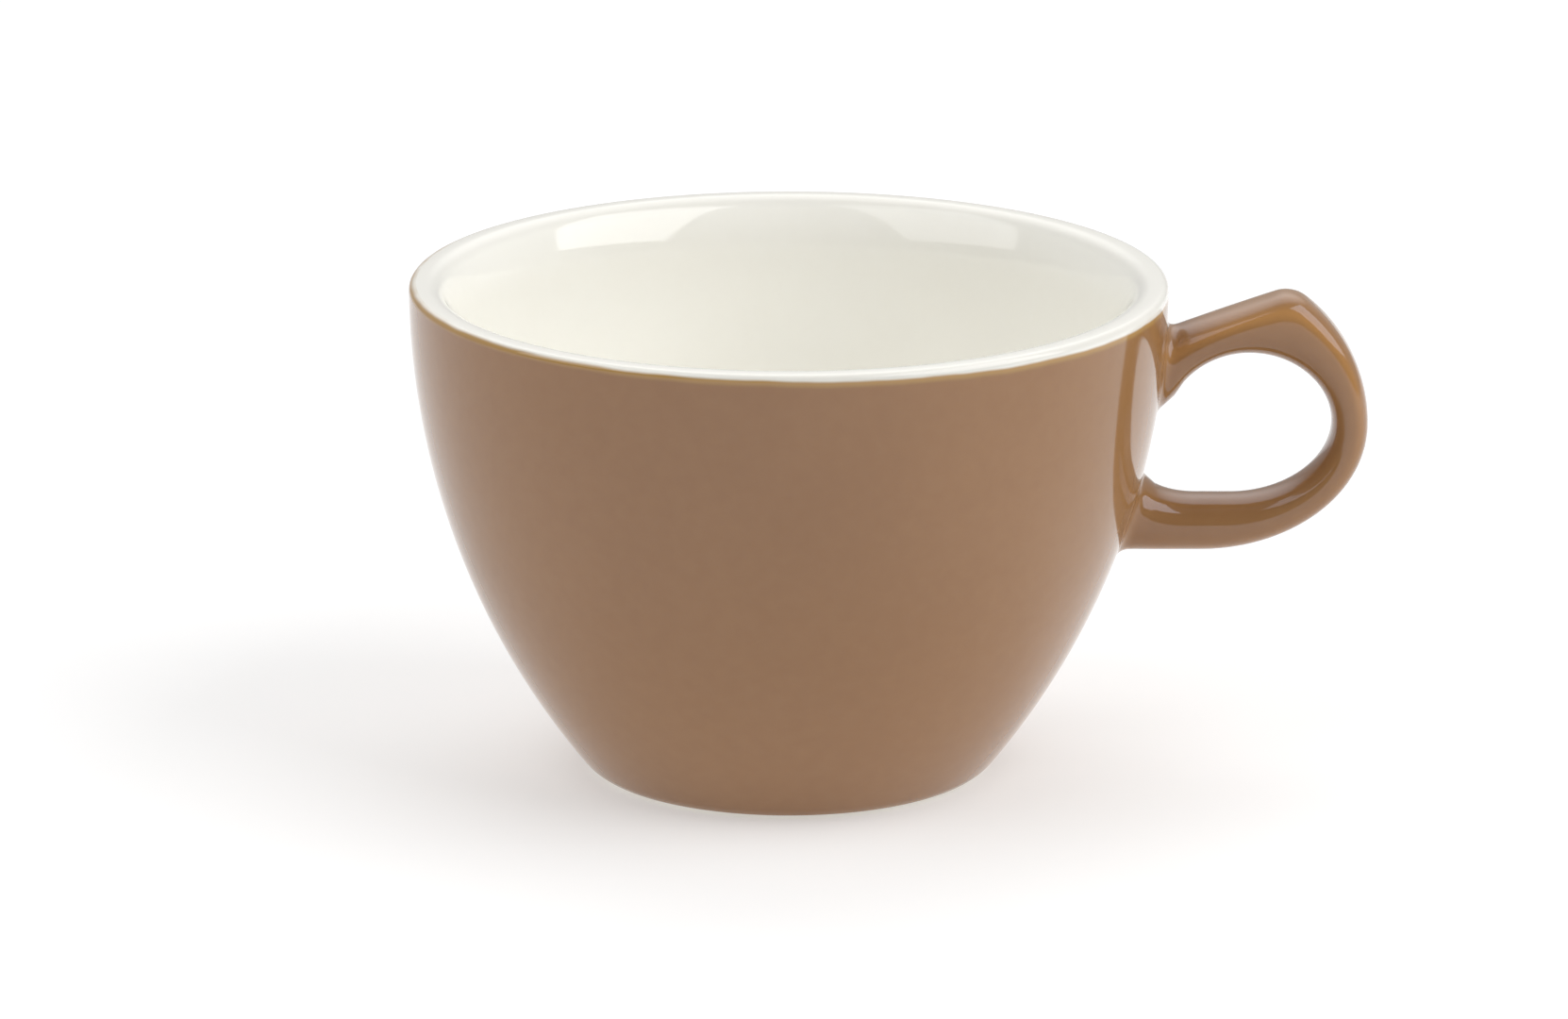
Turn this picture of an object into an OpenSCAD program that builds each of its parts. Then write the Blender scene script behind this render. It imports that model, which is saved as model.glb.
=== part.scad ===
/* [Cup] */
// Diameter over the rim
rim_d = 112.8; // [104:0.2:122]
// Height from the table to the top of the rim
cup_h = 74.5; // [70:0.5:80]
// Radius of the bow of the wall, seen in section
wall_bow_r = 116; // [108:1:130]
// Thickness of the wall, with the glaze on both faces
wall_t = 7; // [6:0.1:8]
// Thickness of the floor over the foot hollow, with the glaze on both faces
floor_t = 5.4; // [4.4:0.1:7]
// Radius of the corner between the wall and the floor, inside
inside_corner_r = 16; // [10:0.5:20]
// Radius of the outer edge of the rim, where the colours meet
rim_out_r = 1; // [0.8:0.1:1.4]
// Radius of the inner edge of the rim
rim_in_r = 3; // [2:0.1:3.6]
// Radius of the slope that eases the rim's inner edge into the wall
lip_r = 16; // [13:0.5:18]
// Lean of that slope at its upper end, in degrees from upright
lip_angle = 30; // [25:1:35]

/* [Foot] */
// Radius of the heel, where the wall turns under
heel_r = 5.5; // [4:0.1:7]
// Width of the flat ring that stands on the table
foot_ring_w = 4; // [3:0.1:6]
// Depth of the hollow inside the foot ring
foot_hollow_h = 2; // [1.2:0.1:3]
// Height of the unglazed band above the table
bare_foot_h = 0.6; // [0.4:0.1:1]

/* [Glaze and slip] */
// Thickness of the glaze
glaze_t = 0.35; // [0.25:0.05:0.5]
// Thickness of the slip that joins the handle to the wall
slip_t = 0.6; // [0.5:0.1:1]

/* [Handle loop] */
// Distance from the rim to the outermost point of the handle
handle_reach = 30; // [28:0.2:33]
// Drop from the rim to the middle of the finger hole
hole_drop = 22.1; // [21:0.1:24]
// Clear height of the finger hole
hole_h = 22.1; // [20:0.1:24]
// Width of the finger hole from the grip to its highest point
hole_out_w = 12.8; // [11:0.1:14]
// Width of the finger hole from its highest point to the upper root
hole_in_w = 11.8; // [11:0.1:13]
// Width of the finger hole from the grip to the start of its level edge
hole_under_w = 14.8; // [13:0.1:16]
// Radius of the back of the handle, above the middle of the hole
back_r = 24.2; // [23:0.1:26]
// Width of the bow below the middle of the hole
under_w = 24.9; // [22:0.1:27]
// Drop from the middle of the hole to the underside of the handle
under_h = 19.3; // [18:0.1:21]
// Length of the flare over the lower root
foot_flare_w = 8; // [6:0.1:10]
// Height of the flare over the lower root
foot_flare_h = 4; // [2.5:0.1:5]

/* [Handle section] */
// Thickness of the grip at its outermost point
grip_t = 5.4; // [4.5:0.1:6.5]
// Width of the grip, front to back
grip_w = 10.5; // [9:0.1:12]
// Width of the handle at its roots
root_w = 12; // [10:0.1:14]
// Drop from the rim to the top of the upper root
root_drop = 7.7; // [6:0.1:9]
// Rise of the bar from the upper root to the thumb rest, in degrees
thumb_rise = 18.8; // [15:0.1:22]
// Radius of the crest of the thumb rest
thumb_r = 5; // [3:0.1:7]

/* [Hidden] */

// Turning: facets round the axis, and steps along each arc of the section
$fn = 180;
wall_steps = 20;
corner_steps = 10;
edge_steps = 6;

// Wall: the bow is struck from a point level with the lower end of the rim's outer edge
rim_r = rim_d / 2;
bow_c = [rim_r - wall_bow_r, cup_h - rim_out_r];
inner_bow_r = wall_bow_r - wall_t;
floor_z = foot_hollow_h + floor_t;

// Heel: tangent to the wall, and to the table once the glaze is wiped off
heel_z = heel_r - glaze_t;
heel_c = [bow_c.x + sqrt((wall_bow_r - heel_r) ^ 2 - (bow_c.y - heel_z) ^ 2), heel_z];
heel_angle = atan2(heel_c.y - bow_c.y, heel_c.x - bow_c.x);
glaze_angle = -asin((heel_z - bare_foot_h) / heel_r);
hollow_r = heel_c.x - foot_ring_w;

// Rim and inside corner: each arc is tangent to the next
rim_out_c = [rim_r - rim_out_r, bow_c.y];
lip_z = cup_h - rim_in_r - (lip_r - rim_in_r) * sin(lip_angle);
lip_c = [bow_c.x + sqrt((inner_bow_r + lip_r) ^ 2 - (lip_z - bow_c.y) ^ 2), lip_z];
lip_end_angle = atan2(lip_c.y - bow_c.y, lip_c.x - bow_c.x);
rim_in_c = lip_c + (lip_r - rim_in_r) * dir(180 - lip_angle);
corner_z = floor_z + inside_corner_r;
corner_c = [bow_c.x + sqrt((inner_bow_r - inside_corner_r) ^ 2 - (corner_z - bow_c.y) ^ 2), corner_z];
corner_angle = atan2(corner_c.y - bow_c.y, corner_c.x - bow_c.x);

// Handle: the finger hole's middle, and the centres of the arcs of its back
out_x = rim_r + handle_reach;
hole_c = [out_x - grip_t - hole_out_w, cup_h - hole_drop];
hole_under_c = [out_x - grip_t - hole_under_w, hole_c.y];
back_c = [out_x - back_r, hole_c.y];
under_c = [out_x - under_w, hole_c.y];
rise = [cos(thumb_rise), sin(thumb_rise)];
rise_up = [-sin(thumb_rise), cos(thumb_rise)];
root_top = [rim_r, cup_h - root_drop];
thumb_start = root_top - thumb_r * rise_up;
thumb_off = thumb_start - back_c;
thumb_fall = -thumb_off * rise;
thumb_run = thumb_fall + sqrt(thumb_fall ^ 2 - thumb_off * thumb_off + (back_r - thumb_r) ^ 2);
thumb_c = thumb_start + thumb_run * rise;
thumb_angle = atan2(thumb_c.y - back_c.y, thumb_c.x - back_c.x);

// Handle: directions, in degrees, at which the hole's edge faces the roots, the crest and the back
flare_angle = 157;
foot_flare_angle = -165;
sink_angle = 42;
crest_start_angle = 80;
crest_end_angle = 62;

// Handle: rings along each stretch, rings that pass through the wall, and points round a ring
bar_rings = 8;
crest_rings = 4;
back_rings = 7;
under_rings = 10;
foot_rings = 2;
flare_rings = 5;
root_rings = 2;
ring_sides = 24;
section_power = 2.3;

// Roots: how far the ends of the handle reach into the wall before they are cut to it
root_sink = 4;

// Points of an arc after its first one
function arc(centre, r, from_angle, to_angle, steps) =
    [for (i = [1:steps]) centre + r * dir(from_angle + (to_angle - from_angle) * i / steps)];

function dir(a) = [cos(a), sin(a)];

function flip(points) = [for (i = [len(points) - 1:-1:0]) points[i]];

// Outside of the cup from the foot to the rim, a skin's depth under the glaze
function outside(skin, from_angle) = concat(
    [heel_c + (heel_r - skin) * dir(from_angle)],
    arc(heel_c, heel_r - skin, from_angle, heel_angle, edge_steps),
    arc(bow_c, wall_bow_r - skin, heel_angle, 0, wall_steps));

// Rim and inside of the cup to the middle of the floor, a skin's depth under the glaze
function inside(skin) = concat(
    arc(rim_out_c, rim_out_r - skin, 0, 90, edge_steps),
    [rim_in_c + (rim_in_r - skin) * dir(90)],
    arc(rim_in_c, rim_in_r - skin, 90, 180 - lip_angle, edge_steps),
    arc(lip_c, lip_r - skin, 180 - lip_angle, 180 + lip_end_angle, edge_steps),
    arc(bow_c, inner_bow_r + skin, lip_end_angle, corner_angle, wall_steps),
    arc(corner_c, inside_corner_r + skin, corner_angle, -90, corner_steps),
    [[0, floor_z - skin]]);

function wall_radius(z) = bow_c.x + sqrt(wall_bow_r ^ 2 - (z - bow_c.y) ^ 2);

// Edge of the finger hole in a direction from its middle
function hole_edge(a) =
    a < 0 ? hole_under_c + [hole_under_w * cos(a), hole_h / 2 * sin(a)]
          : hole_c + [(a > 90 ? hole_in_w : hole_out_w) * cos(a), hole_h / 2 * sin(a)];

function between(from, to, share) = from + (to - from) * share;

// Edges of the handle, as pairs of a point at the hole and a point at the back, root to root
bar_end = thumb_c + thumb_r * rise_up;
foot_start = [hole_under_c - [0, hole_h / 2], under_c - [0, under_h]];
foot_flare_z = foot_start[0].y + foot_flare_h;
foot_flare_c = [wall_radius(foot_flare_z) + foot_flare_w, foot_flare_z];
foot_root = [wall_radius(foot_start[1].y), foot_start[1].y];
foot_middle = [foot_flare_c - [0, foot_flare_h], foot_root + [foot_flare_w, 0]];
stations = concat(
    [[hole_edge(flare_angle) - root_sink * dir(sink_angle), root_top - root_sink * rise]],
    [for (i = [0:bar_rings])
        [hole_edge(between(flare_angle, crest_start_angle, i / bar_rings)),
         between(root_top, bar_end, i / bar_rings)]],
    [for (i = [1:crest_rings])
        [hole_edge(between(crest_start_angle, crest_end_angle, i / crest_rings)),
         thumb_c + thumb_r * dir(between(90 + thumb_rise, thumb_angle, i / crest_rings))]],
    [for (i = [1:back_rings])
        [hole_edge(between(crest_end_angle, 0, i / back_rings)),
         back_c + back_r * dir(between(thumb_angle, 0, i / back_rings))]],
    [for (i = [1:under_rings])
        let (a = -90 * i / under_rings)
        [hole_edge(a), under_c + [under_w * cos(a), under_h * sin(a)]]],
    [for (i = [1:foot_rings]) between(foot_start, foot_middle, i / foot_rings)],
    [for (i = [1:flare_rings])
        let (a = between(-90, foot_flare_angle, i / flare_rings))
        [foot_flare_c + [foot_flare_w * cos(a), foot_flare_h * sin(a)],
         foot_root + [foot_flare_w * (1 - i / flare_rings), 0]]],
    [[foot_flare_c + [foot_flare_w * cos(foot_flare_angle), foot_flare_h * sin(foot_flare_angle)]
          - root_sink * dir(-sink_angle),
      foot_root - [root_sink, 0]]]);
last_station = len(stations) - 1;

// One rounded ring of the handle, a skin's depth under the glaze
function ring(i, skin) =
    let (
        span = stations[i][1] - stations[i][0],
        middle = (stations[i][0] + stations[i][1]) / 2,
        half_t = norm(span) / 2 - skin,
        up = span / norm(span),
        root_share = (2 * i / last_station - 1) ^ 2,
        half_w = between(grip_w, root_w, root_share) / 2 - skin
    )
    [for (k = [0:ring_sides - 1])
        let (
            c = cos(360 * k / ring_sides),
            s = sin(360 * k / ring_sides),
            y = half_w * sign(c) * abs(c) ^ (2 / section_power),
            t = half_t * sign(s) * abs(s) ^ (2 / section_power)
        )
        [middle.x + up.x * t, y, middle.y + up.y * t]];

function rings(first, last, skin) = [for (i = [first:last]) each ring(i, skin)];

// Triangles of a sleeve of rings, from the point numbered start
function sleeve(count, start) =
    [for (i = [0:count - 2], k = [0:ring_sides - 1])
        let (
            a = start + i * ring_sides + k,
            b = start + i * ring_sides + (k + 1) % ring_sides
        )
        each [[a, a + ring_sides, b], [b, a + ring_sides, b + ring_sides]]];

// Triangles that close the first or the last ring
function cap(start, order) =
    [for (k = [1:ring_sides - 2]) order([start, start + k, start + k + 1])];

module handle_bar(first, last, skin) {
    count = last - first + 1;
    end = (count - 1) * ring_sides;
    polyhedron(
        rings(first, last, skin),
        concat(sleeve(count, 0), cap(0, function (t) t), cap(end, function (t) flip(t))));
}

// Skin of the handle, open at both roots
module handle_sleeve(skin) {
    count = last_station + 1;
    inner = count * ring_sides;
    end = (count - 1) * ring_sides;
    polyhedron(
        concat(rings(0, last_station, 0), rings(0, last_station, skin)),
        concat(
            sleeve(count, 0),
            [for (t = sleeve(count, inner)) flip(t)],
            [for (k = [0:ring_sides - 1])
                let (m = (k + 1) % ring_sides)
                each [[k, m, inner + k], [m, inner + m, inner + k],
                      [end + k, inner + end + k, end + m],
                      [end + m, inner + end + k, inner + end + m]]]));
}

// Solid of the cup's outside, a skin's depth under the glaze
module wall_plug(skin)
    rotate_extrude()
        polygon(concat([[0, heel_c.y - heel_r + skin]], outside(skin, -90), [[0, bow_c.y]]));

// Slip between the wall and the handle, where the given rings pass through it
module joint_slip(first, last)
    intersection() {
        handle_bar(first, last, glaze_t);
        rotate_extrude()
            polygon(concat(outside(glaze_t - slip_t, glaze_angle), flip(outside(glaze_t, glaze_angle))));
    }

module cup_body()
    color("#e8dfcd")
    rotate_extrude()
        polygon(concat(
            outside(glaze_t, -90),
            inside(glaze_t),
            [[0, foot_hollow_h + glaze_t], [hollow_r, foot_hollow_h + glaze_t], [hollow_r, 0]]));

module handle()
    color("#e8dfcd")
    difference() {
        handle_bar(0, last_station, glaze_t);
        wall_plug(glaze_t - slip_t);
    }

module upper_joint_slip()
    color("#d9cfbb")
    joint_slip(0, root_rings);

module lower_joint_slip()
    color("#d9cfbb")
    joint_slip(last_station - root_rings, last_station);

module inner_glaze()
    color("#efece1")
    rotate_extrude()
        polygon(concat(
            [rim_out_c + rim_out_r * dir(0)],
            inside(0),
            flip(inside(glaze_t)),
            [rim_out_c + (rim_out_r - glaze_t) * dir(0)]));

module outer_glaze()
    color("#8e7059")
    difference() {
        rotate_extrude()
            polygon(concat(outside(0, glaze_angle), flip(outside(glaze_t, glaze_angle))));
        handle_bar(0, root_rings, glaze_t);
        handle_bar(last_station - root_rings, last_station, glaze_t);
    }

module handle_glaze()
    color("#8e7059")
    difference() {
        handle_sleeve(glaze_t);
        wall_plug(0);
    }

module base_glaze()
    color("#efece1")
    rotate_extrude()
        polygon([
            [0, foot_hollow_h],
            [hollow_r - glaze_t, foot_hollow_h],
            [hollow_r - glaze_t, bare_foot_h],
            [hollow_r, bare_foot_h],
            [hollow_r, foot_hollow_h + glaze_t],
            [0, foot_hollow_h + glaze_t]]);

cup_body();
handle();
upper_joint_slip();
lower_joint_slip();
inner_glaze();
outer_glaze();
handle_glaze();
base_glaze();
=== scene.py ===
import math

import bmesh
import bpy
from mathutils import Matrix, Vector


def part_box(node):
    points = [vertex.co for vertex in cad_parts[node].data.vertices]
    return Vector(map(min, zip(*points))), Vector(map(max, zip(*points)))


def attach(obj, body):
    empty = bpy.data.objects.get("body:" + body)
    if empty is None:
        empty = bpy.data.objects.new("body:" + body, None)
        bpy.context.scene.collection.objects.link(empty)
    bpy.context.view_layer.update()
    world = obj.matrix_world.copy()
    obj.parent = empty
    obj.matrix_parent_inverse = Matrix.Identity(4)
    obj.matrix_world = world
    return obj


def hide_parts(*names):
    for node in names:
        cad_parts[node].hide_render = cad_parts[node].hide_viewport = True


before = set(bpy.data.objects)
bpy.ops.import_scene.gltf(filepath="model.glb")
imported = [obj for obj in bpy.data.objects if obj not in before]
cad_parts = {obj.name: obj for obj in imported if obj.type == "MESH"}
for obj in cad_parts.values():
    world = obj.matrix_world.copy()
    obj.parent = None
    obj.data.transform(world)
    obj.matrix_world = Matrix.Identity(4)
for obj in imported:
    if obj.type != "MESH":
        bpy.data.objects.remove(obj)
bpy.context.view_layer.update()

# Clay cup: a thick bowl of buff stoneware, turned in one with its floor and foot.
# Glaze covers all of it but the flat ring that stands on the table. The ring is sponged
# clean before the firing, so it stays dry and pale, with fine grog and pits.
mm = 0.001
rim_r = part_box("outer_glaze")[1].x
cup_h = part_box("inner_glaze")[1].z
glaze_t = 0.35 * mm
wall_bow_r = 116 * mm
inner_bow_r = 109 * mm
rim_out_r = 1 * mm
rim_in_r = 3 * mm
lip_r = 16 * mm
lip_angle = 30
heel_r = 5.5 * mm
foot_ring_w = 4 * mm
foot_edge_r = 0.4 * mm
foot_hollow_h = 2 * mm
floor_z = 7.4 * mm
inside_corner_r = 16 * mm
clay_pale = (0.8, 0.73, 0.6, 1)
clay_dark = (0.68, 0.59, 0.45, 1)
grog_brown = (0.36, 0.25, 0.15, 1)


def towards(degrees):
    """Unit vector in a section, turned from the radius to the axis of the cup."""
    return Vector((math.cos(math.radians(degrees)), math.sin(math.radians(degrees))))


def bearing(start, end):
    """Angle of a line in a section, in degrees."""
    return math.degrees(math.atan2(end.y - start.y, end.x - start.x))


def level_with(centre, distance, z):
    """Point at a height and at a distance from a centre, on the outer side."""
    return Vector((centre.x + math.sqrt(distance ** 2 - (z - centre.y) ** 2), z))


bow_c = Vector((rim_r - wall_bow_r, cup_h - rim_out_r))
heel_c = level_with(bow_c, wall_bow_r - heel_r, heel_r - glaze_t)
heel_angle = bearing(bow_c, heel_c)
hollow_r = heel_c.x - foot_ring_w
rim_out_c = Vector((rim_r - rim_out_r, bow_c.y))
lip_z = cup_h - rim_in_r - (lip_r - rim_in_r) * towards(lip_angle).y
lip_c = level_with(bow_c, inner_bow_r + lip_r, lip_z)
lip_end_angle = bearing(bow_c, lip_c)
rim_in_c = lip_c + (lip_r - rim_in_r) * towards(180 - lip_angle)
corner_c = level_with(bow_c, inner_bow_r - inside_corner_r, floor_z + inside_corner_r)
corner_angle = bearing(bow_c, corner_c)


def outside(skin, first_angle):
    """Arcs up the outside of the cup from the foot to the rim, a skin's depth down."""
    return [
        (heel_c, heel_r - skin, first_angle, heel_angle),
        (bow_c, wall_bow_r - skin, heel_angle, 0),
    ]


def inside(skin):
    """Arcs over the rim and down the inside to the middle of the floor."""
    return [
        (rim_out_c, rim_out_r - skin, 0, 90),
        (rim_in_c, rim_in_r - skin, 90, 180 - lip_angle),
        (lip_c, lip_r - skin, 180 - lip_angle, 180 + lip_end_angle),
        (bow_c, inner_bow_r + skin, lip_end_angle, corner_angle),
        (corner_c, inside_corner_r + skin, corner_angle, -90),
        corner(0, floor_z - skin),
    ]


def corner(x, z):
    """A sharp point of a section, as an arc of no radius."""
    return (Vector((x, z)), 0, 0, 0)


def turned(name, arcs, ring=False):
    """Piece turned on the axis from a section of arcs; a ring's section is closed."""
    flatness = 0.006 * mm
    turns = 400
    sharp = math.radians(40)
    section_weld = 1e-7
    turned_weld = 1e-6
    bm = bmesh.new()
    first = pen = None
    for centre, r, start, end in arcs:
        at = centre + r * towards(start)
        if pen is None:
            first = pen = bm.verts.new((at.x, 0, at.y))
        else:
            pen = bmesh.ops.extrude_vert_indiv(bm, verts=[pen])["verts"][0]
            pen.co = (at.x, 0, at.y)
        if start != end:
            sweep = math.radians(end - start)
            steps = math.ceil(abs(sweep) / (2 * math.sqrt(2 * flatness / r)))
            swept = bmesh.ops.spin(
                bm, geom=[pen], cent=(centre.x, 0, centre.y), axis=(0, -1, 0),
                angle=sweep, steps=steps)
            pen = next(v for v in swept["geom_last"] if isinstance(v, bmesh.types.BMVert))
    if ring:
        bmesh.ops.contextual_create(bm, geom=[pen, first])
    bmesh.ops.remove_doubles(bm, verts=bm.verts, dist=section_weld)
    bmesh.ops.spin(
        bm, geom=bm.verts[:] + bm.edges[:], cent=(0, 0, 0), axis=(0, 0, 1),
        angle=math.tau, steps=turns, use_merge=True)
    bmesh.ops.remove_doubles(bm, verts=bm.verts, dist=turned_weld)
    bmesh.ops.recalc_face_normals(bm, faces=bm.faces)
    return finished(name, bm, sharp)


def finished(name, bm, sharp):
    """Object of a shaped mesh, smooth but for edges past an angle, riding on the cup."""
    for face in bm.faces:
        face.smooth = True
    for edge in bm.edges:
        edge.smooth = edge.calc_face_angle(0) < sharp
    mesh = bpy.data.meshes.new(name)
    bm.to_mesh(mesh)
    bm.free()
    piece = bpy.data.objects.new(name, mesh)
    bpy.context.scene.collection.objects.link(piece)
    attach(piece, "root")
    return piece


class Field:
    """Value that changes over a surface: one node's output, whose arithmetic adds nodes."""

    def __init__(self, tree, socket):
        self.tree = tree
        self.socket = socket

    def node(self, kind, settings, inputs, output=0):
        """Adds a node: its settings first, then a value or a link for each input."""
        node = self.tree.nodes.new(kind)
        for key, value in settings.items():
            setattr(node, key, value)
        for key, value in inputs.items():
            if isinstance(value, Field):
                self.tree.links.new(value.socket, node.inputs[key])
            else:
                node.inputs[key].default_value = value
        return Field(self.tree, node.outputs[output])

    def math(self, operation, a, b):
        """Adds one step of arithmetic."""
        return self.node("ShaderNodeMath", {"operation": operation}, {0: a, 1: b})

    def __add__(self, other):
        return self.math("ADD", self, other)

    __radd__ = __add__

    def __sub__(self, other):
        return self.math("SUBTRACT", self, other)

    def __rsub__(self, other):
        return self.math("SUBTRACT", other, self)

    def __mul__(self, other):
        return self.math("MULTIPLY", self, other)

    __rmul__ = __mul__

    def rise(self, low, high):
        """0 below the low value, 1 above the high one, and an easy curve between."""
        return self.node(
            "ShaderNodeMapRange", {"interpolation_type": "SMOOTHSTEP"},
            {"Value": self, "From Min": low, "From Max": high})

    def tint(self, colour, other):
        """From a colour where the value is 0 to another where it is 1."""
        return self.node(
            "ShaderNodeMix", {"data_type": "RGBA"}, {0: self, 6: colour, 7: other}, 2)

    def vector(self, operation, other, output=0):
        """A step of vector arithmetic with these coordinates."""
        return self.node(
            "ShaderNodeVectorMath", {"operation": operation}, {0: self, 1: other}, output)

    def cloud(self, scale, detail):
        """Soft noise over these coordinates, from 0 to 1, in patches per metre."""
        return self.node(
            "ShaderNodeTexNoise", {}, {"Vector": self, "Scale": scale, "Detail": detail})

    def dots(self, per_metre, size, share):
        """Round dots, 1 inside: one at most in each cell, in a share of the cells."""
        core = 0.6 * size
        cells = {"Vector": self, "Scale": per_metre}
        near = self.node("ShaderNodeTexVoronoi", {}, cells)
        pick = self.node("ShaderNodeTexVoronoi", {}, cells, "Color")
        hue = pick.node("ShaderNodeSeparateColor", {}, {0: pick})
        chosen = hue.math("LESS_THAN", hue, share)
        return (1 - near.rise(core * per_metre, size * per_metre)) * chosen

    def along(self, axis):
        """One of these coordinates, along an axis."""
        return self.node("ShaderNodeSeparateXYZ", {}, {0: self}, axis)


def coat(name):
    """New material with its shader node, and the place on the piece as a field."""
    material = bpy.data.materials.new(name)
    material.use_nodes = True
    tree = material.node_tree
    shader = next(n for n in tree.nodes if n.type == "BSDF_PRINCIPLED")
    place = tree.nodes.new("ShaderNodeTexCoord").outputs["Object"]
    return material, shader, Field(tree, place)


def surface(shader, colour, roughness, relief, depth):
    """Feeds a shader its colour, its roughness and a relief of a depth in metres."""
    bump = relief.node(
        "ShaderNodeBump", {}, {"Height": relief, "Distance": depth, "Strength": 1.0}, "Normal")
    for key, field in (("Base Color", colour), ("Roughness", roughness), ("Normal", bump)):
        relief.tree.links.new(field.socket, shader.inputs[key])


def clay_coat(name, pale, dark):
    """Bare fired clay: mottled, with brown grog, fine pits and a dry rough face."""
    material, shader, place = coat(name)
    mottle = place.cloud(160, detail=4)
    grain = place.cloud(1800, detail=3)
    grog = place.dots(per_metre=700, size=0.22 * mm, share=0.3)
    colour = (mottle * 0.6 + grain * 0.4).rise(0.3, 0.7).tint(dark, pale)
    colour = (grog * 0.6).tint(colour, grog_brown)
    surface(
        shader, colour, roughness=0.78 + 0.12 * grain,
        relief=grain - 0.5 * grog, depth=0.12 * mm)
    shader.inputs["Specular IOR Level"].default_value = 0.3
    return material


clay = clay_coat("bare_clay", clay_pale, clay_dark)
clay_cup = turned("clay_cup", [
    corner(0, foot_hollow_h + glaze_t),
    corner(hollow_r, foot_hollow_h + glaze_t),
    (Vector((hollow_r + foot_edge_r, foot_edge_r)), foot_edge_r, 180, 270),
    *outside(glaze_t, -90),
    *inside(glaze_t),
])
clay_cup.data.materials.append(clay)
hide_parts("cup_body")

# Clay handle: a loop pressed by itself from the same clay, and trimmed to the wall.
# It lies under its glaze, so only its material is set on the CAD solid.
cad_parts["handle"].data.materials.clear()
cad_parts["handle"].data.materials.append(clay)

# Joints: two films of the same clay, thinned with water, that stick the handle's roots
# to the wall before the firing. They lie under the glaze, too.
slip_pale = (0.71, 0.64, 0.52, 1)
slip_dark = (0.62, 0.54, 0.42, 1)
slip = clay_coat("joint_slip", slip_pale, slip_dark)
for joint in ("upper_joint_slip", "lower_joint_slip"):
    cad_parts[joint].data.materials.clear()
    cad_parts[joint].data.materials.append(slip)

# Cream glaze: poured into the cup and swilled, so it covers the floor, the inside wall
# and the rim. It is glossy and slightly warm, darker and warmer low in the cup, and thins
# to ochre where the brown glaze starts. A greyer band along the top of the rim is painted
# shade, darkening the rim against the light from above.
cream = (0.93, 0.92, 0.865, 1)
cream_warm = (0.92, 0.905, 0.845, 1)
# Rim colour: painted shade, a greyer cream for the top of the rim.
rim_shade_cream = (0.8, 0.784, 0.727, 1)
cream_low = (0.82, 0.797, 0.718, 1)
cream_gloss = (1, 1, 1, 1)
brown = (0.325, 0.172, 0.072, 1)
brown_deep = (0.305, 0.158, 0.064, 1)
iron_black = (0.06, 0.035, 0.02, 1)
ochre = (0.44, 0.262, 0.09, 1)
low_band = (floor_z, cup_h - 22 * mm)
rim_shade_band = (cup_h - 1.8 * mm, cup_h - 0.2 * mm)
edge_band = (rim_r - 1.2 * mm, rim_r - 1.0 * mm)
seam_drop = 0.95 * mm
seam_tilt = 0.0128
seam_wander = 0.25 * mm
ochre_band = (-0.4 * mm, 0.1 * mm)
brown_band = (0.15 * mm, 1.0 * mm)


def glaze_colours(place):
    """Cream and brown of the glazes (the cream with painted shade on the rim's top), how far a
    place lies below their seam, and its radius.
    """
    drift = place.cloud(28, detail=2)
    fleck = place.cloud(420, detail=3)
    creamy = (0.7 * drift + 0.3 * fleck).rise(0.3, 0.7).tint(cream, cream_warm)
    browny = (0.6 * drift + 0.4 * fleck).rise(0.3, 0.7).tint(brown, brown_deep)
    level = place.along("Z")
    # Darker and warmer low in the cup, fading to plain cream by 22 mm below the rim.
    creamy = level.rise(*low_band).tint(cream_low, creamy)
    # Painted shade: the top of the rim turns to the greyer rim colour.
    creamy = level.rise(*rim_shade_band).tint(creamy, rim_shade_cream)
    iron = place.dots(per_metre=95, size=0.22 * mm, share=0.045)
    browny = (0.75 * iron).tint(browny, iron_black)
    wander = place.cloud(110, detail=2) * (2 * seam_wander) - seam_wander
    seam = cup_h - seam_drop - seam_tilt * place.along("X") + wander
    radius = place.vector("MULTIPLY", (1, 1, 0)).vector("LENGTH", (0, 0, 0), "Value")
    return creamy, browny, seam - level, radius


def glazed(shader, place, colour, tint):
    """Finishes a glaze: a glassy face with a faint orange peel."""
    peel = place.cloud(300, detail=2)
    swell = place.cloud(45, detail=1)
    surface(
        shader, colour, roughness=0.05 + 0.05 * swell,
        relief=0.15 * peel + swell, depth=0.05 * mm)
    shader.inputs["IOR"].default_value = 1.55
    shader.inputs["Specular Tint"].default_value = tint


def backwards(arcs):
    """The same arcs, drawn from the last point to the first."""
    return [(centre, r, end, start) for centre, r, start, end in reversed(arcs)]


cream_coat, shader, place = coat("cream_glaze")
creamy, browny, below, radius = glaze_colours(place)
over_edge = radius.rise(*edge_band)
line = (below.rise(*ochre_band) * over_edge).tint(creamy, ochre)
colour = (below.rise(*brown_band) * over_edge).tint(line, browny)
glazed(shader, place, colour, cream_gloss)

inside_glaze = turned("inside_glaze", [
    *backwards(inside(glaze_t)),
    *inside(0),
])
inside_glaze.data.materials.append(cream_coat)
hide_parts("inner_glaze")

# Brown glaze: sprayed on the outside from the rim's edge to the heel, glossy and golden,
# with a few iron specks. It is thinnest at the seam, where it breaks to ochre. On the handle,
# which lies past the rim, it is brown all over. Along the faces of the upper bar, where the
# ridge attribute says, a lighter gold is painted in as painted light.
bare_foot_h = 0.6 * mm
glaze_angle = -math.degrees(math.asin((heel_c.y - bare_foot_h) / heel_r))
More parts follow.
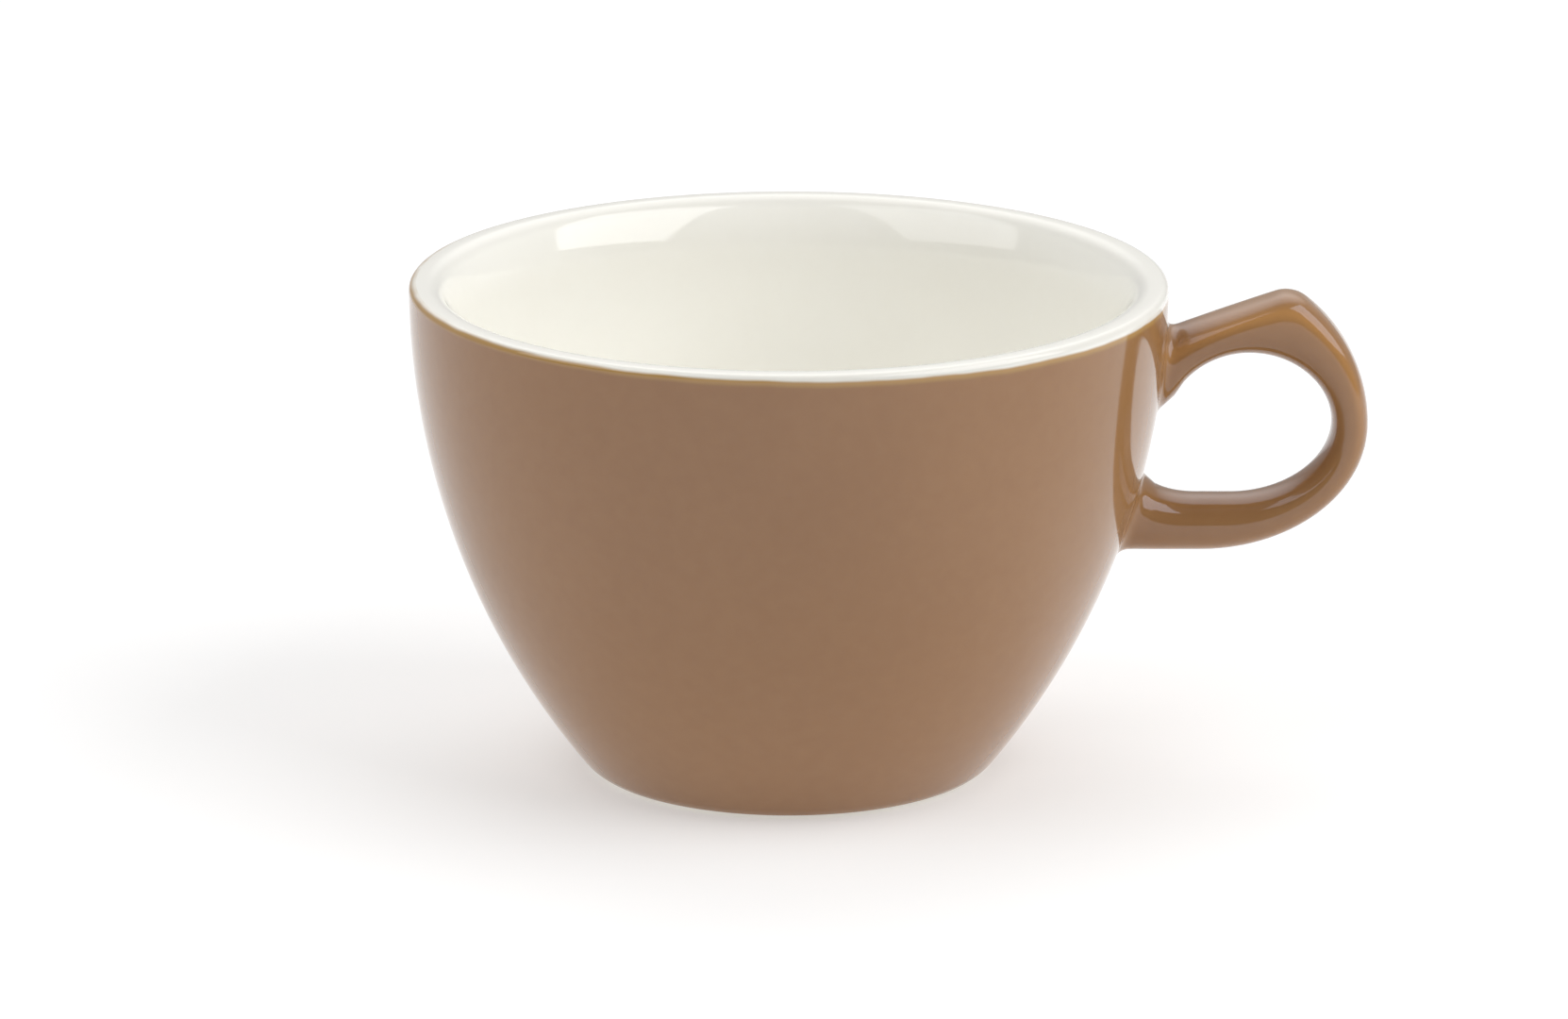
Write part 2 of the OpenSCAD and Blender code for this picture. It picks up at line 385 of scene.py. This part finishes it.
# Painted light: a lighter gold for the faces of the upper bar, toward its top.
painted_gold = (0.44, 0.225, 0.08, 1)
brown_gloss = (0.75, 0.82, 1, 1)
handle_band = (rim_r + 0.3 * mm, rim_r + 0.8 * mm)
brown_coat, shader, place = coat("brown_glaze")
creamy, browny, below, radius = glaze_colours(place)
below = below + cup_h * radius.rise(*handle_band)
ridge = place.node("ShaderNodeAttribute", {"attribute_name": "ridge"}, {}, "Fac")
# The ridge attribute lays that painted light on the upper bar.
browny = ridge.tint(browny, painted_gold)
line = below.rise(*ochre_band).tint(creamy, ochre)
colour = below.rise(*brown_band).tint(line, browny)
glazed(shader, place, colour, brown_gloss)

outside_glaze = turned("outside_glaze", [
    *outside(0, glaze_angle),
    *backwards(outside(glaze_t, glaze_angle)),
], ring=True)
outside_glaze.data.materials.append(brown_coat)
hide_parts("outer_glaze")

# Handle glaze: the same brown glaze over the clay loop, from root to root. The loop is
# oval in section, with a thumb rest at its crest, and the glaze fills the corners at the wall.
out_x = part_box("handle_glaze")[1].x
grip_t = 5.4 * mm
grip_w = 10.5 * mm
root_w = 12 * mm
hole_h = 22.1 * mm
hole_out_w = 12.8 * mm
hole_in_w = 11.8 * mm
hole_under_w = 14.8 * mm
hole_z = cup_h - 22.1 * mm
hole_root_angle = 157
hole_bar_angle = 80
hole_thumb_angle = 62
back_r = 24.2 * mm
under_w = 24.9 * mm
under_h = 19.3 * mm
foot_flare_w = 8 * mm
foot_flare_h = 4 * mm
foot_flare_angle = -165
root_drop = 7.7 * mm
thumb_rise = 18.8
thumb_r = 5 * mm
hole_c = Vector((out_x - grip_t - hole_out_w, hole_z))
hole_under_c = Vector((out_x - grip_t - hole_under_w, hole_z))
back_c = Vector((out_x - back_r, hole_z))
under_c = Vector((out_x - under_w, hole_z))
root_top = Vector((rim_r, cup_h - root_drop))
thumb_start = root_top - thumb_r * towards(90 + thumb_rise)
thumb_fall = (back_c - thumb_start).dot(towards(thumb_rise))
thumb_run = thumb_fall + math.sqrt(
    thumb_fall ** 2 - (thumb_start - back_c).length_squared + (back_r - thumb_r) ** 2)
thumb_c = thumb_start + thumb_run * towards(thumb_rise)
thumb_angle = bearing(back_c, thumb_c)
bar_end = thumb_c + thumb_r * towards(90 + thumb_rise)


def wall_radius(z):
    """Radius of the outside of the wall at a height."""
    return level_with(bow_c, wall_bow_r, z).x


def hole_edge(degrees):
    """Edge of the finger hole in a direction from its middle."""
    side = towards(degrees)
    if degrees < 0:
        return hole_under_c + Vector((hole_under_w * side.x, hole_h / 2 * side.y))
    reach = hole_in_w if degrees > 90 else hole_out_w
    return hole_c + Vector((reach * side.x, hole_h / 2 * side.y))


def shares(steps):
    """Shares of the way along a stretch, without its start."""
    return [i / steps for i in range(1, steps + 1)]


def blend(start, end, share):
    """Value a share of the way from one to another."""
    return start + (end - start) * share


bar_steps = 24
thumb_steps = 12
back_steps = 20
under_steps = 30
foot_steps = 6
flare_steps = 12
foot_start = (hole_under_c - Vector((0, hole_h / 2)), under_c - Vector((0, under_h)))
foot_flare_z = foot_start[0].y + foot_flare_h
foot_flare_c = Vector((wall_radius(foot_flare_z) + foot_flare_w, foot_flare_z))
foot_root = Vector((wall_radius(foot_start[1].y), foot_start[1].y))
foot_middle = (foot_flare_c - Vector((0, foot_flare_h)), foot_root + Vector((foot_flare_w, 0)))
stations = [(hole_edge(hole_root_angle), root_top)]
for s in shares(bar_steps):
    hole = hole_edge(blend(hole_root_angle, hole_bar_angle, s))
    stations.append((hole, blend(root_top, bar_end, s)))
for s in shares(thumb_steps):
    hole = hole_edge(blend(hole_bar_angle, hole_thumb_angle, s))
    side = towards(blend(90 + thumb_rise, thumb_angle, s))
    stations.append((hole, thumb_c + thumb_r * side))
for s in shares(back_steps):
    hole = hole_edge(blend(hole_thumb_angle, 0, s))
    side = towards(blend(thumb_angle, 0, s))
    stations.append((hole, back_c + back_r * side))
for s in shares(under_steps):
    hole = hole_edge(-90 * s)
    side = towards(-90 * s)
    stations.append((hole, under_c + Vector((under_w * side.x, under_h * side.y))))
for s in shares(foot_steps):
    stations.append(tuple(blend(a, b, s) for a, b in zip(foot_start, foot_middle)))
for s in shares(flare_steps):
    side = towards(blend(-90, foot_flare_angle, s))
    hole = foot_flare_c + Vector((foot_flare_w * side.x, foot_flare_h * side.y))
    stations.append((hole, foot_root + Vector((foot_flare_w * (1 - s), 0))))

ring_sides = 64
hole_power = 2.3
grip_power = 2.3
ridge_power = 3.2
ridge_share = 0.36
ridge_spread = 0.2
ridge_turn = 25
ridge_turn_spread = 15
fillet_steps = 8
fillet_tuck = 0.03 * mm
wall_tries = 20
sink_angle = 42
root_clear = 2.4 * mm
web_fill = 0.35 * mm
web_way = towards(-48)
loop_sharp = math.radians(60)


def rounded(side, power):
    """Point of a unit oval in a direction; a higher power makes it more square."""
    return Vector([math.copysign(abs(c) ** (2 / power), c) for c in side])


def handle_ring(share, hole, back):
    """Points of one ring of the handle, given its edges at the hole and at the back."""
    middle = (hole + back) / 2
    half_t = (back - hole).length / 2
    up = (back - hole).normalized()
    half_w = blend(grip_w, root_w, (2 * share - 1) ** 2) / 2
    ridge = math.exp(-((share - ridge_share) / ridge_spread) ** 2)
    points = []
    for k in range(ring_sides):
        side = towards(360 * k / ring_sides)
        power = blend(grip_power, ridge_power, ridge) if side.y > 0 else hole_power
        at = rounded(side, power)
        z = middle + up * (half_t * at.y)
        points.append(Vector((z.x, half_w * at.x, z.y)))
    return points


def past_wall(point):
    """How far a point lies outside the wall."""
    return Vector((point.x, point.y)).length - wall_radius(point.z)


def into_wall(point, depth):
    """The place a little under the outside of the wall beside a point."""
    level = Vector((point.x, point.y)).normalized() * (wall_radius(point.z) - depth)
    return Vector((level.x, level.y, point.z))


def root_fillet(ring, hole_sink, back_sink, hole_fillet, side_fillet, back_fillet):
    """Rings that turn the end of the bar out onto the wall in a hollow curve."""
    middle = sum(ring, Vector()) / ring_sides
    rings = [[] for _ in range(fillet_steps + 1)]
    for k, point in enumerate(ring):
        side = towards(360 * k / ring_sides).y
        sink = blend(hole_sink, back_sink, (1 + side) / 2).normalized()
        along = Vector((sink.x, 0, sink.y))
        fillet = blend(side_fillet, back_fillet if side > 0 else hole_fillet, side ** 2)
        hit = point.copy()
        for _ in range(wall_tries):
            hit += along * past_wall(hit)
        start = hit - along * fillet
        spread = into_wall(hit + (hit - middle).normalized() * fillet, fillet_tuck)
        for i, points in enumerate(rings):
            s = i / fillet_steps
            points.append((1 - s) ** 2 * start + 2 * s * (1 - s) * hit + s ** 2 * spread)
    return rings


rings = [handle_ring(i / (len(stations) - 1), *pair) for i, pair in enumerate(stations)]
upper_root = root_fillet(
    rings[0], hole_sink=-towards(sink_angle), back_sink=-towards(thumb_rise),
    hole_fillet=0.8 * mm, side_fillet=2.2 * mm, back_fillet=2.1 * mm)
lower_root = root_fillet(
    rings[-1], hole_sink=-towards(-sink_angle), back_sink=-towards(0),
    hole_fillet=1.0 * mm, side_fillet=2.2 * mm, back_fillet=1.9 * mm)
bar = []
for i, ring in enumerate(rings):
    if min(past_wall(point) for point in ring) > root_clear:
        past = max(0, i / (len(stations) - 1) - ridge_share)
        bar.append((ring, math.exp(-(past / ridge_spread) ** 2)))
web = []
for k, (start, end) in enumerate(zip(upper_root[0], bar[0][0])):
    low = max(0, -towards(360 * k / ring_sides).y) ** 2
    web.append((start + end) / 2 + low * web_fill * Vector((web_way.x, 0, web_way.y)))
path = [(ring, 1 - i / fillet_steps) for i, ring in enumerate(upper_root)][::-1]
path += [(web, 1)] + bar + [(ring, 0) for ring in lower_root]

bm = bmesh.new()
# The ridge attribute weighs painted light: a lighter gold on the upper bar's faces, fading
# past the thumb rest.
painted_gold_share = bm.verts.layers.float.new("ridge")
loop = bmesh.ops.create_circle(bm, segments=ring_sides, radius=grip_t)["verts"]
bmesh.ops.contextual_create(bm, geom=loop)
for i, (ring, strength) in enumerate(path):
    if i:
        edges = {e for v in loop for e in v.link_edges if e.other_vert(v) in loop}
        grown = bmesh.ops.extrude_edge_only(bm, edges=list(edges))["geom"]
        fresh = {v for v in grown if isinstance(v, bmesh.types.BMVert)}
        loop = [
            next(e.other_vert(v) for e in v.link_edges if e.other_vert(v) in fresh)
            for v in loop]
    for k, vert in enumerate(loop):
        side = towards(360 * k / ring_sides)
        vert.co = ring[k]
        turn = math.degrees(math.atan2(side.y, abs(side.x))) - ridge_turn
        vert[painted_gold_share] = strength * math.exp(-(turn / ridge_turn_spread) ** 2)
bmesh.ops.contextual_create(bm, geom=loop)
bmesh.ops.recalc_face_normals(bm, faces=bm.faces)
loop_glaze = finished("loop_glaze", bm, loop_sharp)
loop_glaze.data.materials.append(brown_coat)
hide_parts("handle_glaze")

# Base glaze: cream glaze in the hollow of the foot, brushed on while the cup stands upside
# down, and wiped off the ring round it.
hollow_coat, shader, place = coat("hollow_glaze")
creamy = glaze_colours(place)[0]
glazed(shader, place, creamy, cream_gloss)
hollow_glaze = turned("hollow_glaze", [
    corner(0, foot_hollow_h),
    corner(hollow_r - glaze_t, foot_hollow_h),
    corner(hollow_r - glaze_t, bare_foot_h),
    corner(hollow_r, bare_foot_h),
    corner(hollow_r, foot_hollow_h + glaze_t),
    corner(0, foot_hollow_h + glaze_t),
])
hollow_glaze.data.materials.append(hollow_coat)
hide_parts("base_glaze")

# Table: a plain white sheet under and behind the cup, which keeps the cup's shadow.
# The camera and the gloss see it brighter than the light that it throws on the cup.
# Round the cup's foot it also glows, in the light that it throws on the cup only: a painted
# glow that lights the lower wall, though the sheet is no lamp.
sheet_size = 3
sheet_drop = 0.05 * mm
near_middle = (20 * mm, 0, 0)
near_band = (50 * mm, 150 * mm)
far_band = (250 * mm, 450 * mm)
paper_grey = (0.8, 0.8, 0.8, 1)
foot_glow = (0.34, 0.34, 0.34, 1)
no_glow = (0, 0, 0, 1)
seen_grey = (0.68, 0.68, 0.68, 1)
seen_glow = (0.35, 0.35, 0.35, 1)
seen_far = (0.45, 0.45, 0.45, 1)
sheet_mesh = bpy.data.meshes.new("table")
bm = bmesh.new()
bmesh.ops.create_grid(
    bm, x_segments=1, y_segments=1, size=sheet_size,
    matrix=Matrix.Translation((0, 0, -sheet_drop)))
bm.to_mesh(sheet_mesh)
bm.free()
table = bpy.data.objects.new("table", sheet_mesh)
bpy.context.scene.collection.objects.link(table)
white, shader, place = coat("white_sheet")
tree = white.node_tree
tree.nodes.remove(shader)
shown = place.node("ShaderNodeLightPath", {}, {}, "Is Camera Ray")
shiny = place.node("ShaderNodeLightPath", {}, {}, "Is Glossy Ray")
through = place.node("ShaderNodeLightPath", {}, {}, "Is Transmission Ray")
reach = place.vector("SUBTRACT", near_middle).vector("LENGTH", (0, 0, 0), "Value")
paper = place.node("ShaderNodeBsdfDiffuse", {}, {"Color": paper_grey})
# Painted glow round the cup's foot: it lights the lower wall, though the sheet is no lamp.
foot_glow_colour = reach.rise(*near_band).tint(foot_glow, no_glow)
near = place.node("ShaderNodeEmission", {}, {"Color": foot_glow_colour})
lit = place.node("ShaderNodeAddShader", {}, {0: paper, 1: near})
thin = place.node("ShaderNodeBsdfDiffuse", {}, {"Color": seen_grey})
far = (shown * reach.rise(*far_band)).tint(seen_glow, seen_far)
glow = place.node("ShaderNodeEmission", {}, {"Color": far})
bright = place.node("ShaderNodeAddShader", {}, {0: thin, 1: glow})
both = place.node("ShaderNodeMixShader", {}, {0: shown + shiny + through, 1: lit, 2: bright})
output = next(n for n in tree.nodes if n.type == "OUTPUT_MATERIAL")
tree.links.new(both.socket, output.inputs["Surface"])
sheet_mesh.materials.append(white)

# Light: a pale studio all round with a soft glow overhead, from behind, a large soft box
# on the right and a weaker one on the left.
front_level = 0.08
back_gain = 0.42
overhead_gain = 1.28
back_band = (-0.5, 0.4)
overhead_way = Vector((0, 0.63, 0.77)).normalized()
overhead_band = (math.cos(math.radians(41)), math.cos(math.radians(6)))
lamp_aim = (0, 0, 0.05)
world = bpy.data.worlds.new("studio")
bpy.context.scene.world = world
world.use_nodes = True
tree = world.node_tree
sky = next(n for n in tree.nodes if n.type == "BACKGROUND")
seen = Field(tree, tree.nodes.new("ShaderNodeLightPath").outputs["Is Camera Ray"])
way = seen.node("ShaderNodeTexCoord", {}, {}, "Generated")
back = way.along("Y").rise(*back_band)
overhead = way.vector("DOT_PRODUCT", overhead_way, "Value").rise(*overhead_band)
level = front_level + back_gain * back + overhead_gain * overhead
level = level + seen * (1 - level)
tree.links.new(level.socket, sky.inputs["Strength"])
sky.inputs["Color"].default_value = (1, 1, 1, 1)


def soft_box(name, place, width, height, power):
    """Square lamp turned to the cup; it shows in gloss but not to the camera."""
    lamp = bpy.data.lights.new(name, "AREA")
    lamp.shape = "RECTANGLE"
    lamp.size = width
    lamp.size_y = height
    lamp.energy = power
    box = bpy.data.objects.new(name, lamp)
    box.location = place
    box.rotation_euler = (Vector(lamp_aim) - Vector(place)).to_track_quat("-Z", "Y").to_euler()
    box.visible_camera = False
    bpy.context.scene.collection.objects.link(box)


soft_box("right_box", place=(0.846, -0.359, 0.82), width=1.05, height=1.1, power=11.2)
soft_box("left_box", place=(-0.808, -0.377, 0.85), width=1.05, height=1.2, power=6.8)

# Camera: a long lens from the front, a little above the rim. Its focal length and shift are
# in pixels of the photo's width.
photo_w = 1662
focal_w = 8093
shift_w = -5
look_down = 15.89
camera = bpy.data.objects.new("camera", bpy.data.cameras.new("camera"))
camera.data.sensor_width = 36
camera.data.lens = camera.data.sensor_width * focal_w / photo_w
camera.data.shift_x = shift_w / photo_w
camera.location = (0, -1.1, 0.352)
camera.rotation_euler = (math.radians(90 - look_down), 0, 0)
bpy.context.scene.collection.objects.link(camera)
bpy.context.scene.camera = camera
bpy.context.scene.view_settings.view_transform = "Standard"
